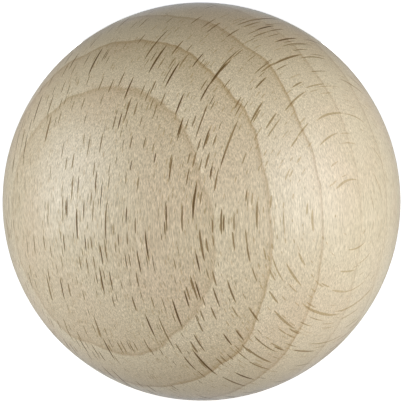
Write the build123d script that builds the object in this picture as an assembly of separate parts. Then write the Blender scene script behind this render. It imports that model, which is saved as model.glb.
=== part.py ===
from build123d import *

import os

# A croquet ball: one solid piece of beech, turned round on a lathe between its two ends.

# Driving dimension, in millimetres.
ball_diameter = 60.0

ball_radius = ball_diameter / 2


def turned_ball():
    """A half-round profile turned a full circle about the lathe axis, Z, which the fibres nearly follow."""
    outline = CenterArc((0, 0), ball_radius, start_angle=-90, arc_size=180)
    lathe_axis = Line(outline @ 1, outline @ 0)
    half_round = make_face(Plane.XZ * (outline + lathe_axis))
    ball = revolve(half_round, axis=Axis.Z)
    ball.label = "ball"
    return ball


os.makedirs("parts", exist_ok=True)
export_step(turned_ball(), "parts/ball.step")
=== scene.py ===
import math

import bpy
from mathutils import Euler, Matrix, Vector


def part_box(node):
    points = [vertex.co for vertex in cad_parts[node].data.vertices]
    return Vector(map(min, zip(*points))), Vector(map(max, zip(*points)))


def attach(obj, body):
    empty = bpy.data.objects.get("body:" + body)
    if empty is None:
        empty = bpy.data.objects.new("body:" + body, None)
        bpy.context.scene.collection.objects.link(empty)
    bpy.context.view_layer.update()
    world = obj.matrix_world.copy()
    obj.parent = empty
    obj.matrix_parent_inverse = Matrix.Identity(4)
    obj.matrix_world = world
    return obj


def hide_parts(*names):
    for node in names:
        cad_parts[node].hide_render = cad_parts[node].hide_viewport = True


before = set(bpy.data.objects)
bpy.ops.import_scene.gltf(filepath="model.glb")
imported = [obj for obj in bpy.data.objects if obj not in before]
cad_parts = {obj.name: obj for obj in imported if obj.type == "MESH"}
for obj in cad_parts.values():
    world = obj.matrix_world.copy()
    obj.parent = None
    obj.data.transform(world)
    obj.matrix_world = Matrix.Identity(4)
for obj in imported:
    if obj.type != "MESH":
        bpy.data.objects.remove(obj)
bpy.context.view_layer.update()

mm = 0.001


def hexToLinear(code):
    # an sRGB hex value such as "D9C8A6" as linear red, green, blue and alpha
    channels = [int(code[i:i + 2], 16) / 255 for i in (0, 2, 4)]
    linear = [c / 12.92 if c <= 0.04045 else ((c + 0.055) / 1.055) ** 2.4 for c in channels]
    return (*linear, 1.0)


def addNode(tree, kind, inputs=None, **settings):
    # one node with its settings; each input is filled, or linked from another node's output
    node = tree.nodes.new("ShaderNode" + kind)
    for name, value in settings.items():
        setattr(node, name, value)
    for name, value in (inputs or {}).items():
        if isinstance(value, bpy.types.NodeSocket):
            tree.links.new(value, node.inputs[name])
        else:
            node.inputs[name].default_value = value
    return node


def newMaterial(name):
    material = bpy.data.materials.new(name)
    material.use_nodes = True
    material.node_tree.nodes.clear()
    return material, material.node_tree


# ball: one piece of beech, turned between centres and sanded
ballLow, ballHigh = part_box("ball")
ballCentre = (ballLow + ballHigh) / 2
ballRadius = (ballHigh.x - ballLow.x) / 2

ball = {
    "cuts": 90,            # cuts along each edge of the cube that is blown up into the ball
    "sandingDepth": 0.04,  # mm that the sander has taken off, at most
    "sandingSpan": 9.0,    # mm from one rubbed place to the next
}


def makeBall():
    # a cube cut into small squares and blown up to a sphere has no poles
    bpy.ops.object.select_all(action="DESELECT")
    bpy.ops.mesh.primitive_cube_add(size=2 * ballRadius, location=ballCentre)
    piece = bpy.context.object
    piece.name = piece.data.name = "turned_ball"
    bpy.ops.object.mode_set(mode="EDIT")
    bpy.ops.mesh.select_all(action="SELECT")
    bpy.ops.mesh.subdivide(number_cuts=ball["cuts"])
    bpy.ops.object.mode_set(mode="OBJECT")

    blowUp = piece.modifiers.new("blowUp", "CAST")
    blowUp.cast_type = "SPHERE"
    blowUp.factor = 1
    blowUp.use_radius_as_size = False
    blowUp.size = ballRadius
    bpy.ops.object.modifier_apply(modifier=blowUp.name)

    # sanding by hand leaves shallow, soft-edged places: it takes wood off and never adds any
    rubbed = bpy.data.textures.new("rubbedPlaces", "CLOUDS")
    rubbed.noise_scale = ball["sandingSpan"] * mm
    rubbed.noise_depth = 1
    sanding = piece.modifiers.new("sanding", "DISPLACE")
    sanding.texture = rubbed
    sanding.texture_coords = "LOCAL"
    sanding.mid_level = 1
    sanding.strength = ball["sandingDepth"] * mm
    bpy.ops.object.modifier_apply(modifier=sanding.name)

    bpy.ops.object.shade_smooth()
    bpy.ops.object.transform_apply(location=True, rotation=True, scale=True)
    return piece


turnedBall = makeBall()
print("ball shaped:", len(turnedBall.data.polygons), "faces")


# plain beech, turned and sanded, with nothing on it: pale straw with a little pink in it, broad growth
# rings that darken to their outer edge, dark flecks where rays are cut across, fine pores along the fibres
beech = {
    "pithDistance": 122.8,   # mm from the pith of the tree to the middle of the ball
    "outwardTurn": 58.6,     # degrees from +X towards +Y, the way that leads out from the pith
    "fibreLean": 2.1,        # degrees that the fibres lean from +Z towards -X

    "firstRing": 92.4,       # mm from the pith to where the first of these rings begins
    "rings": [               # each ring's width in mm, and how dark its outer edge is
        (7.0, 0.8), (6.6, 1.0), (7.2, 0.9), (7.8, 0.7), (6.8, 0.8),
        (6.3, 0.6), (6.0, 0.9), (6.6, 0.7), (5.4, 0.8), (6.0, 0.7),
    ],
    "earlyWood": "EADAB9",
    "lateWood": "C3A778",
    "ringProfile": [         # share of the way out across a ring, and how dark it has become there
        (0.01, 0.0), (0.91, 0.42), (1.0, 1.0),
    ],
    "ringWaver": 1.5,        # mm that a ring wanders in and out
    "waverSpan": (7.0, 7.0, 16.0),   # mm from one bulge of a ring to the next: across, across, along
    "waverDetail": 5.0,      # sizes of bulge, each half the one before: the smallest are the scallops
    "waverFalloff": 0.5,     # strength of each of them, as a share of the one before

    "fleck": "5E3F0C",
    "besideFleck": "FFEDBC",         # what the wood close to a ray is tinted with: it is browner there
    # around, along, outward: mm from one ray's place to the next; share: how many of the places hold a ray
    # size: the biggest ray's reach, as a share of its place; slim: how much thinner it is than its place
    # dark: the darkest ray; open: how much of its darkness a ray keeps where the surface lays it open
    "rays": {
        "long": {"around": 1.3, "along": 9.0, "outward": 17.0, "share": 0.32,
                 "size": 0.42, "slim": 3.3, "dark": 1.0, "open": 0.22},
        "middle": {"around": 1.2, "along": 5.0, "outward": 12.0, "share": 0.78,
                   "size": 0.46, "slim": 2.9, "dark": 0.95, "open": 0.32},
        "short": {"around": 0.8, "along": 2.6, "outward": 6.5, "share": 0.85,
                  "size": 0.46, "slim": 2.4, "dark": 0.75, "open": 0.42},
        "tiny": {"around": 0.5, "along": 1.0, "outward": 4.0, "share": 0.80,
                 "size": 0.50, "slim": 2.0, "dark": 0.25, "open": 1.0},
    },
    "rayStray": 0.7,         # how far a ray lies from the middle of its place: 0 even, 1 anywhere
    "rayPalest": 0.7,        # the palest ray's darkness, as a share of the darkest
    "raySoftEdge": 0.12,     # share of a ray's size over which it fades out
    "boldRays": [            # the boldest rays in front: mm across and up from the middle, and mm long
        (-10.0, 18.3, 4.4), (-4.0, 20.2, 5.4), (2.3, 20.4, 5.4), (9.0, 26.5, 5.0), (12.0, 24.8, 6.0),
        (-11.1, 14.0, 3.0), (-2.9, 16.3, 4.0), (8.2, 19.0, 3.2), (12.0, 22.2, 7.5), (13.3, 18.6, 2.8),
        (-2.8, 13.3, 3.2), (7.3, 15.3, 4.4), (9.2, 14.2, 3.5), (12.5, 11.3, 2.4),
        (-9.5, 8.2, 1.6), (-6.1, 9.3, 1.6), (1.3, 7.6, 1.9), (2.8, 9.2, 2.3), (18.0, 14.2, 6.5),
        (-18.5, 2.0, 2.4), (-15.9, 2.0, 2.8), (-10.0, 1.6, 2.6), (-4.5, 2.0, 2.5), (-0.8, 3.7, 6.0),
        (-15.7, -2.6, 2.8), (-7.2, -2.4, 4.8), (-8.2, -5.2, 2.3), (3.1, 0.8, 2.6), (6.1, 4.4, 2.0),
        (-13.5, -7.8, 4.8), (-0.5, -4.5, 3.3), (-0.6, -8.6, 3.4), (6.3, -3.4, 2.9), (4.0, -8.8, 4.2),
        (-7.0, -14.0, 4.6), (-3.3, -12.0, 5.6), (-2.1, -9.8, 3.1), (7.0, -12.4, 3.4), (12.3, -7.0, 5.0),
        (-13.0, -18.5, 4.8), (3.6, -16.0, 3.0), (5.2, -15.4, 2.8), (16.5, -13.2, 9.5), (12.8, -15.6, 3.0),
        (0.4, -20.0, 8.0), (6.0, -22.8, 5.0), (10.8, -18.2, 2.6), (14.4, -19.4, 6.0),
    ],
    "boldWidth": (0.20, 0.025),      # mm across at least, and more for each mm of length
    "boldDark": 0.95,        # how dark they are
    "boldSoftEdge": 0.3,     # share of their size over which they fade out
    "boldOpen": 0.27,        # how much of their darkness they keep where the surface lays them open
    "leastSlant": 0.012,     # keeps a ray's width from running away where it lies flat in the surface
    "rayWander": 0.5,        # mm that the rays and fibres weave to each side
    "wanderSpan": 14.0,      # mm
    "wanderDetail": 1.0,

    "poreWidth": 0.14,       # mm; real pores are 0.05 mm wide, and are drawn as bundles wide enough to show
    "poreLength": 0.8,       # mm
    "poreDetail": 2.0,       # sizes of pore, each half the one before
    "poreContrast": 0.46,
    "threadWidth": 0.22,     # mm, long faint streaks where the fibres run together
    "threadLength": 5.0,     # mm
    "threadDetail": 1.0,
    "threadContrast": 0.16,
    "streakFalloff": 0.6,    # strength of each finer size of pore or thread, as a share of the one before
    "noiseReach": (0.2, 0.8),        # what the noise behind pores and threads keeps to

    "sideRing": 0.60,        # how much of their darkness rings keep where the surface runs along the fibres
    "sideReach": (0.05, 0.6),        # how squarely it cuts the fibres where that starts to change, and ends
    "openCrispness": 2.2,    # power that leaves only a thin line at a ring's edge where rays are laid open
    "openLine": 1.35,        # how much darker that line is
    "openLineFrom": 0.6,     # how far the rays are laid open where the line starts to thin
    "openFace": 0.75,        # how much of their contrast pores and threads keep there
    "openFrom": 0.45,        # how far the rays are laid open where all else starts to change
    "openFully": 0.95,       # and where every change is complete

    "blush": "E5C9A8",       # pinker wood, as beech has in patches
    "blushSpan": 14.0,       # mm
    "blushDetail": 2.0,
    "blushReach": (0.45, 0.7),       # of the noise: where a patch starts, and where it is pinkest
    "blushMost": 0.35,       # how much of the pinker wood shows there

    "endGrainAndPaintedShade": 0.74,   # darker where the fibres are cut across, top and bottom: partly end grain's own tone, partly painted shade
    "endGrainFrom": 0.5,     # how squarely they are cut where that starts
    "shadeTint": (0.9, 1.0, 1.3),    # power of the shade in red, green and blue: darker grain, and the painted shade at the ends, come out browner

    "roughness": 0.40,
    "poreRoughness": 0.06,   # how much rougher it is in pores, and smoother between them
    "rayRoughness": 0.9,
    "grainDepth": 0.015,     # mm, the scale of the grain's depth
    "poreDepth": 0.12,       # how deep the pores and the cut rays lie open, as shares of it
    "rayDepth": 0.4,
    "ior": 1.5,
    "shine": 0.65,           # the shader's level of reflection
    "fuzz": 0.32,            # sanded fibres that stand up and catch the light at the rim
    "fuzzRoughness": 0.28,
    "fuzzTint": "D2E4FF",
}


# how the ball lay in the tree: its turn about X, Y and Z
logTurn = (0, math.radians(beech["fibreLean"]), -math.radians(beech["outwardTurn"]))


def placeInLog(tree):
    # where each point lay in the tree, in mm, with Z along the fibres: first straight, with X out from the
    # pith through the middle of the ball, and then along the grain, with X round the pith and Y out from it
    here = addNode(tree, "TexCoord")
    log = addNode(tree, "Mapping", {
        "Vector": here.outputs["Object"],
        "Location": (beech["pithDistance"], 0, 0),
        "Rotation": logTurn,
        "Scale": (1 / mm, 1 / mm, 1 / mm),
    })
    weave = addNode(tree, "TexNoise", {
        "Vector": log.outputs["Vector"], "Scale": 1 / beech["wanderSpan"],
        "Detail": beech["wanderDetail"]})
    centred = addNode(tree, "VectorMath", {
        0: weave.outputs["Color"], 1: (0.5, 0.5, 0.5)}, operation="SUBTRACT")
    wander = addNode(tree, "VectorMath", {
        0: centred.outputs["Vector"], 1: (0, 2 * beech["rayWander"], 0)}, operation="MULTIPLY")
    woven = addNode(tree, "VectorMath", {
        0: log.outputs["Vector"], 1: wander.outputs["Vector"]}, operation="ADD")
    axes = addNode(tree, "SeparateXYZ", {"Vector": woven.outputs["Vector"]})
    turn = addNode(tree, "Math", {0: axes.outputs["Y"], 1: axes.outputs["X"]}, operation="ARCTAN2")
    around = addNode(tree, "Math", {0: turn.outputs[0], 1: beech["pithDistance"]}, operation="MULTIPLY")
    level = addNode(tree, "CombineXYZ", {"X": axes.outputs["X"], "Y": axes.outputs["Y"]})
    outward = addNode(tree, "VectorMath", {0: level.outputs["Vector"]}, operation="LENGTH")
    grain = addNode(tree, "CombineXYZ", {
        "X": around.outputs[0], "Y": outward.outputs["Value"], "Z": axes.outputs["Z"]})
    return log.outputs["Vector"], grain.outputs["Vector"]


def growthRings(tree, log, grain):
    # 0 in the wood of spring to 1 in the last wood of autumn; the next spring starts at once, at an edge
    bulges = addNode(tree, "Mapping", {"Vector": log, "Scale": [1 / span for span in beech["waverSpan"]]})
    waver = addNode(tree, "TexNoise", {
        "Vector": bulges.outputs["Vector"], "Scale": 1.0,
        "Detail": beech["waverDetail"], "Roughness": beech["waverFalloff"]})
    shift = addNode(tree, "Math", {
        0: waver.outputs["Fac"], 1: 2 * beech["ringWaver"], 2: -beech["ringWaver"]},
        operation="MULTIPLY_ADD")
    outward = addNode(tree, "SeparateXYZ", {"Vector": grain})
    place = addNode(tree, "Math", {0: outward.outputs["Y"], 1: shift.outputs[0]}, operation="ADD")
    start = beech["firstRing"]
    end = start + sum(width for width, dark in beech["rings"])
    along = addNode(tree, "MapRange", {"Value": place.outputs[0], "From Min": start, "From Max": end})
    ramp = addNode(tree, "ValToRGB", {"Fac": along.outputs["Result"]})
    stops = ramp.color_ramp.elements
    stops.remove(stops[1])
    edge = 0.0
    for width, dark in beech["rings"]:
        for share, depth in beech["ringProfile"]:
            stop = stops.new(edge + share * width / (end - start))
            stop.color = (depth * dark, depth * dark, depth * dark, 1)
        edge += width / (end - start)
    return ramp.outputs["Color"]


def onOpenFace(tree, raysOpen, amount, start=beech["openFrom"]):
    # 1 where the surface cuts the rays across, changing smoothly to the amount where it lays them open
    change = addNode(tree, "MapRange", {
        "Value": raysOpen, "From Min": start, "From Max": beech["openFully"],
        "To Min": 1, "To Max": amount}, interpolation_type="SMOOTHSTEP")
    return change.outputs["Result"]


def rayFlecks(tree, grain, thinning, raysOpen, ray):
    # one size of ray: a thin upright lens in a plane that holds the pith; 1 in its heart and 0 outside it
    cells = addNode(tree, "Mapping", {
        "Vector": grain, "Scale": (1 / ray["around"], 1 / ray["outward"], 1 / ray["along"])})
    lens = addNode(tree, "TexVoronoi", {
        "Vector": cells.outputs["Vector"], "Scale": 1.0, "Randomness": beech["rayStray"]})
    apart = addNode(tree, "VectorMath", {
        0: cells.outputs["Vector"], 1: lens.outputs["Position"]}, operation="SUBTRACT")
    thinned = addNode(tree, "VectorMath", {0: apart.outputs["Vector"], 1: thinning}, operation="MULTIPLY")
    slimmed = addNode(tree, "VectorMath", {
        0: thinned.outputs["Vector"], 1: (ray["slim"], 1, 1)}, operation="MULTIPLY")
    reach = addNode(tree, "VectorMath", {0: slimmed.outputs["Vector"]}, operation="LENGTH")
    luck = addNode(tree, "SeparateColor", {"Color": lens.outputs["Color"]})
    size = addNode(tree, "MapRange", {
        "Value": luck.outputs["Red"], "From Min": 1 - ray["share"], "From Max": 1, "To Max": ray["size"]})
    within = addNode(tree, "Math", {
        0: size.outputs["Result"], 1: reach.outputs["Value"]}, operation="SUBTRACT")
    body = addNode(tree, "MapRange", {
        "Value": within.outputs[0], "From Max": beech["raySoftEdge"] * ray["size"]})
    dark = addNode(tree, "MapRange", {
        "Value": luck.outputs["Green"], "To Min": beech["rayPalest"] * ray["dark"], "To Max": ray["dark"]})
    fleck = addNode(tree, "Math", {
        0: body.outputs["Result"], 1: dark.outputs["Result"]}, operation="MULTIPLY")
    shown = addNode(tree, "Math", {
        0: fleck.outputs[0], 1: onOpenFace(tree, raysOpen, ray["open"])}, operation="MULTIPLY")
    return shown.outputs[0]


def boldRay(tree, grain, thinning, across, up, length):
    # a ray at a listed place on the front of the ball: the same lens, in the same directions, as the rest
    surface = Vector((across, -math.sqrt((ballRadius / mm) ** 2 - across ** 2 - up ** 2), up))
    lay = Euler(logTurn).to_matrix() @ surface + Vector((beech["pithDistance"], 0, 0))
    middle = (math.atan2(lay.y, lay.x) * beech["pithDistance"], math.hypot(lay.x, lay.y), lay.z)
    width = beech["boldWidth"][0] + beech["boldWidth"][1] * length
    apart = addNode(tree, "VectorMath", {0: grain, 1: middle}, operation="SUBTRACT")
    thinned = addNode(tree, "VectorMath", {0: apart.outputs["Vector"], 1: thinning}, operation="MULTIPLY")
    sized = addNode(tree, "VectorMath", {
        0: thinned.outputs["Vector"], 1: (2 / width, 2 / length, 2 / length)}, operation="MULTIPLY")
    reach = addNode(tree, "VectorMath", {0: sized.outputs["Vector"]}, operation="LENGTH")
    body = addNode(tree, "MapRange", {
        "Value": reach.outputs["Value"], "From Min": 1, "From Max": 1 - beech["boldSoftEdge"],
        "To Max": beech["boldDark"]})
    return body.outputs["Result"]


def cutFaces(tree, log):
    # how far the surface lays the rays open and how squarely it cuts the fibres, each from 0 to 1
    fromMiddle = addNode(tree, "VectorMath", {
        0: log, 1: (beech["pithDistance"], 0, 0)}, operation="SUBTRACT")
    facing = addNode(tree, "VectorMath", {0: fromMiddle.outputs["Vector"]}, operation="NORMALIZE")
    sizes = addNode(tree, "VectorMath", {0: facing.outputs["Vector"]}, operation="ABSOLUTE")
    parts = addNode(tree, "SeparateXYZ", {"Vector": sizes.outputs["Vector"]})
    return parts.outputs["Y"], parts.outputs["Z"]


def stretchedNoise(tree, grain, width, length, detail):
    # noise drawn out along the fibres
    cells = addNode(tree, "Mapping", {"Vector": grain, "Scale": (1 / width, 1 / width, 1 / length)})
    noise = addNode(tree, "TexNoise", {
        "Vector": cells.outputs["Vector"], "Scale": 1.0,
        "Detail": detail, "Roughness": beech["streakFalloff"]})
    return noise.outputs["Fac"]


def contrasted(tree, noise, contrast):
    # noise as a shade about 1, which the wood's colour is multiplied by
    low, high = beech["noiseReach"]
    shade = addNode(tree, "MapRange", {
        "Value": noise, "From Min": low, "From Max": high, "To Min": 1 - contrast, "To Max": 1 + contrast})
    return shade.outputs["Result"]


def woodColour(tree, log, grain, raysOpen, fibresCut):
    # the rings, then patches of pinker wood
    sideFrom, sideTo = beech["sideReach"]
    ringKept = addNode(tree, "MapRange", {
        "Value": fibresCut, "From Min": sideFrom, "From Max": sideTo,
        "To Min": beech["sideRing"], "To Max": 1})
    crispness = onOpenFace(tree, raysOpen, beech["openCrispness"], beech["openLineFrom"])
    openLine = onOpenFace(tree, raysOpen, beech["openLine"], beech["openLineFrom"])
    crisp = addNode(tree, "Math", {0: growthRings(tree, log, grain), 1: crispness}, operation="POWER")
    strength = addNode(tree, "Math", {0: ringKept.outputs["Result"], 1: openLine}, operation="MULTIPLY")
    ringTone = addNode(tree, "Math", {0: crisp.outputs[0], 1: strength.outputs[0]}, operation="MULTIPLY")
    ringed = addNode(tree, "Mix", {
        0: ringTone.outputs[0], 6: hexToLinear(beech["earlyWood"]), 7: hexToLinear(beech["lateWood"])},
        data_type="RGBA")
    patches = addNode(tree, "TexNoise", {
        "Vector": log, "Scale": 1 / beech["blushSpan"], "Detail": beech["blushDetail"]})
    patchEdge, patchHeart = beech["blushReach"]
    pink = addNode(tree, "MapRange", {
        "Value": patches.outputs["Fac"], "From Min": patchEdge, "From Max": patchHeart,
        "To Max": beech["blushMost"]})
    blushed = addNode(tree, "Mix", {
        0: pink.outputs["Result"], 6: ringed.outputs[2], 7: hexToLinear(beech["blush"])}, data_type="RGBA")
    return blushed.outputs[2]


def grainToneAndShade(tree, grain, pores, raysOpen, fibresCut):
    # pores and threads along the fibres, and the darker end grain, which is partly painted shade: the
    # darker, the browner
    threads = stretchedNoise(tree, grain, beech["threadWidth"], beech["threadLength"], beech["threadDetail"])
    streaks = addNode(tree, "Math", {
        0: contrasted(tree, pores, beech["poreContrast"]),
        1: contrasted(tree, threads, beech["threadContrast"])}, operation="MULTIPLY")
    evened = addNode(tree, "Mix", {
        0: onOpenFace(tree, raysOpen, beech["openFace"]), 2: 1.0, 3: streaks.outputs[0]},
        data_type="FLOAT")
    # end grain's own darker tone, together with painted shade at the top and bottom
    endGrainAndShade = addNode(tree, "MapRange", {
        "Value": fibresCut, "From Min": beech["endGrainFrom"], "From Max": 1,
        "To Min": 1, "To Max": beech["endGrainAndPaintedShade"]}, interpolation_type="SMOOTHSTEP")
    shade = addNode(tree, "Math", {
        0: evened.outputs[0], 1: endGrainAndShade.outputs["Result"]}, operation="MULTIPLY")
    browned = addNode(tree, "VectorMath", {0: shade.outputs[0], 1: beech["shadeTint"]}, operation="POWER")
    return browned.outputs["Vector"]


def allFlecks(tree, grain, raysOpen):
    # how dark the rays make each place: dark where they are cut across, and pale where they are laid open
    # a slanting cut would widen them, but the ray's dark middle is a thread, and stays as thin
    slant = addNode(tree, "Math", {0: raysOpen, 1: raysOpen}, operation="MULTIPLY")
    straight = addNode(tree, "Math", {
        0: 1 + beech["leastSlant"], 1: slant.outputs[0]}, operation="SUBTRACT")
    thinner = addNode(tree, "Math", {0: straight.outputs[0]}, operation="INVERSE_SQRT")
    thinning = addNode(tree, "CombineXYZ", {"X": thinner.outputs[0], "Y": 1.0, "Z": 1.0})
    flecks = 0.0
    for ray in beech["rays"].values():
        fleck = rayFlecks(tree, grain, thinning.outputs["Vector"], raysOpen, ray)
        flecks = addNode(tree, "Math", {0: flecks, 1: fleck}, operation="MAXIMUM").outputs[0]
    bold = 0.0
    for across, up, length in beech["boldRays"]:
        fleck = boldRay(tree, grain, thinning.outputs["Vector"], across, up, length)
        bold = addNode(tree, "Math", {0: bold, 1: fleck}, operation="MAXIMUM").outputs[0]
    boldShown = addNode(tree, "Math", {
        0: bold, 1: onOpenFace(tree, raysOpen, beech["boldOpen"])}, operation="MULTIPLY")
    return addNode(tree, "Math", {0: flecks, 1: boldShown.outputs[0]}, operation="MAXIMUM").outputs[0]


def makeBeech():
    material, tree = newMaterial("turnedBeech")
    log, grain = placeInLog(tree)
    raysOpen, fibresCut = cutFaces(tree, log)
    pores = stretchedNoise(tree, grain, beech["poreWidth"], beech["poreLength"], beech["poreDetail"])
    flecks = allFlecks(tree, grain, raysOpen)
    shaded = addNode(tree, "VectorMath", {
        0: woodColour(tree, log, grain, raysOpen, fibresCut),
        1: grainToneAndShade(tree, grain, pores, raysOpen, fibresCut)}, operation="MULTIPLY")

    # the wood close to a ray is browner, and the ray itself is dark brown
    close = addNode(tree, "Math", {0: flecks}, operation="SQRT")
    tint = addNode(tree, "Mix", {
        0: close.outputs[0], 6: (1, 1, 1, 1), 7: hexToLinear(beech["besideFleck"])}, data_type="RGBA")
    tinted = addNode(tree, "VectorMath", {
        0: shaded.outputs["Vector"], 1: tint.outputs[2]}, operation="MULTIPLY")
    flecked = addNode(tree, "Mix", {
        0: flecks, 6: tinted.outputs["Vector"], 7: hexToLinear(beech["fleck"])}, data_type="RGBA")

    # the cut rays and pores lie slightly open, and both are duller than the wood between them
    height = addNode(tree, "Math", {0: pores, 1: beech["poreDepth"]}, operation="MULTIPLY")
    cut = addNode(tree, "Math", {0: flecks, 1: beech["rayDepth"]}, operation="MULTIPLY")
    opened = addNode(tree, "Math", {0: height.outputs[0], 1: cut.outputs[0]}, operation="SUBTRACT")
    relief = addNode(tree, "Bump", {
        "Height": opened.outputs[0], "Strength": 1.0, "Distance": beech["grainDepth"] * mm})
    dull = addNode(tree, "MapRange", {
        "Value": pores, "To Min": beech["roughness"] + beech["poreRoughness"],
        "To Max": beech["roughness"] - beech["poreRoughness"]})
    duller = addNode(tree, "Mix", {
        0: flecks, 2: dull.outputs["Result"], 3: beech["rayRoughness"]}, data_type="FLOAT")

    shader = addNode(tree, "BsdfPrincipled", {
        "Base Color": flecked.outputs[2], "Roughness": duller.outputs[0],
        "Normal": relief.outputs["Normal"], "IOR": beech["ior"], "Specular IOR Level": beech["shine"],
        "Sheen Weight": beech["fuzz"], "Sheen Roughness": beech["fuzzRoughness"],
        "Sheen Tint": hexToLinear(beech["fuzzTint"])})
    addNode(tree, "OutputMaterial", {"Surface": shader.outputs["BSDF"]})
    return material


turnedBall.data.materials.append(makeBeech())
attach(turnedBall, "root")
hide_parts("ball")
print("beech on the ball")


# plain white studio floor that turns up into a wall all round, far off
studio = {
    "floorWhite": "F8F8F7",
    "floorGlow": 0.93,      # its own light, so that it stays white right up to the ball
    "floorRoughness": 0.9,  # matt paper
    "floorShine": 0.2,
    "floorReach": 3.0,      # m from the ball to the wall
    "floorSides": 96,
    "wallHeight": 2.0,      # m
    "ambient": 0.18,        # light from all round
    "lights": {             # degrees round from the camera, degrees up, m away, m across, watts, colour
        "left": {"turn": -77, "rise": 10, "away": 0.5, "across": 0.4, "watts": 1.75, "colour": "F3F8FF"},
        "right": {"turn": 60, "rise": 10, "away": 0.5, "across": 0.4, "watts": 2.0, "colour": "F6F9FF"},
        "front": {"turn": 5, "rise": 12, "away": 0.5, "across": 0.4, "watts": 0.12, "colour": "FFF4E4"},
        "back": {"turn": 180, "rise": 5, "away": 2.5, "across": 2.0, "watts": 42, "colour": "FFFFFF"},
        "under": {"turn": 0, "rise": -90, "away": 0.15, "across": 1.0, "watts": 0.95, "colour": "FFFFFF"},
    },
}


def makeFloor():
    bpy.ops.object.select_all(action="DESELECT")
    bpy.ops.mesh.primitive_circle_add(
        vertices=studio["floorSides"], radius=studio["floorReach"], fill_type="NGON",
        location=(0, 0, ballLow.z))
    floor = bpy.context.object
    floor.name = "studioFloor"
    bpy.ops.object.mode_set(mode="EDIT")
    bpy.ops.mesh.select_all(action="SELECT")
    # drawing the floor up makes the wall, and a lid, which comes off
    bpy.ops.mesh.extrude_region_move(TRANSFORM_OT_translate={"value": (0, 0, studio["wallHeight"])})
    bpy.ops.mesh.delete(type="ONLY_FACE")
    bpy.ops.object.mode_set(mode="OBJECT")

    # matt paper off a wide roll: an even white with no grain that shows
    material, tree = newMaterial("whitePaper")
    shader = addNode(tree, "BsdfPrincipled", {
        "Base Color": hexToLinear(studio["floorWhite"]),
        "Roughness": studio["floorRoughness"], "Specular IOR Level": studio["floorShine"],
        "Emission Color": hexToLinear(studio["floorWhite"]), "Emission Strength": studio["floorGlow"]})
    addNode(tree, "OutputMaterial", {"Surface": shader.outputs["BSDF"]})
    floor.data.materials.append(material)
    floor.visible_diffuse = False    # it throws no light back on the ball
    floor.visible_glossy = False
    floor.visible_shadow = False     # and lets the light beneath it through


def makeLights():
    world = bpy.data.worlds.new("softRoom")
    world.use_nodes = True
    world.node_tree.nodes["Background"].inputs["Color"].default_value = (1, 1, 1, 1)
    world.node_tree.nodes["Background"].inputs["Strength"].default_value = studio["ambient"]
    bpy.context.scene.world = world
    for name, lamp in studio["lights"].items():
        turn, rise = math.radians(lamp["turn"]), math.radians(lamp["rise"])
        way = Vector((math.sin(turn) * math.cos(rise), -math.cos(turn) * math.cos(rise), math.sin(rise)))
        bpy.ops.object.light_add(type="AREA", location=ballCentre + way * lamp["away"])
        light = bpy.context.object
        light.name = name + "Softbox"
        light.rotation_euler = way.to_track_quat("Z", "Y").to_euler()
        light.data.size = lamp["across"]
        light.data.energy = lamp["watts"]
        light.data.color = hexToLinear(lamp["colour"])[:3]
        light.visible_camera = False
        light.visible_glossy = name != "back"    # no glare round the rim from behind


camera = {
    "rise": 7.0,        # degrees above the ball's middle, looking along +Y
    "away": 8.0,        # ball radii from the ball's middle
    "fill": 0.9889,     # share of the picture's width that the ball fills
    "sensor": 36.0,     # mm
    "nearest": 0.01,    # m, nearer than this it sees nothing
}


def makeCamera():
    rise = math.radians(camera["rise"])
    away = camera["away"] * ballRadius
    place = ballCentre + Vector((0, -math.cos(rise), math.sin(rise))) * away
    bpy.ops.object.camera_add(location=place, rotation=(math.radians(90) - rise, 0, 0))
    view = bpy.context.object
    view.name = "portraitCamera"
    # the edge of the ball that shows is where the line of sight grazes it
    edge = math.tan(math.asin(1 / camera["away"]))
    view.data.sensor_width = camera["sensor"]
    view.data.lens = camera["sensor"] / 2 / (edge / camera["fill"])
    view.data.clip_start = camera["nearest"]
    bpy.context.scene.camera = view


makeFloor()
makeLights()
makeCamera()
bpy.context.scene.view_settings.view_transform = "Standard"
print("studio set: floor, lights and camera")
